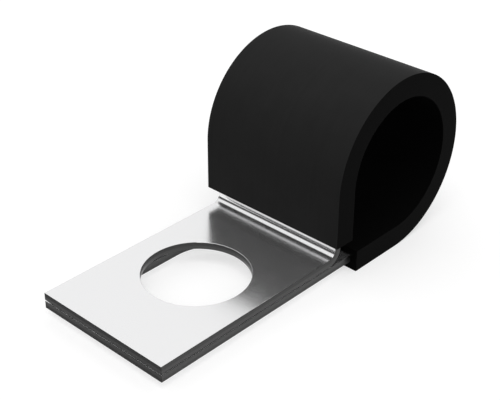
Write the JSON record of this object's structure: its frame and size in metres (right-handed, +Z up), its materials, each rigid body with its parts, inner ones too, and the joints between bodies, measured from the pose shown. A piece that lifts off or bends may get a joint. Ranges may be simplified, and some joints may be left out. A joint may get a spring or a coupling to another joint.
{
  "type": "p clip",
  "caption": "Rubber-cushioned P clip: a steel strip looped round a cable bore inside a rubber sleeve, its ends lying flat as a tongue with a screw hole.",
  "frame": {"origin": "centre of the cable bore, on its axis and halfway along it", "axes": "+Y along the cable bore, +Z up out of the screw hole, square to the flat tongue, +X from the tongue's free end towards the loop"},
  "size_m": [0.0522, 0.022, 0.024],
  "materials": {
    "steel_band": "bright zinc-plated sheet steel, nearly mirror smooth, with sheared edges",
    "rubber_sleeve": "smooth satin black rubber"
  },
  "bodies": {
    "root": {"steel_band": "steel_band", "rubber_sleeve": "rubber_sleeve"}
  },
  "joints": []
}
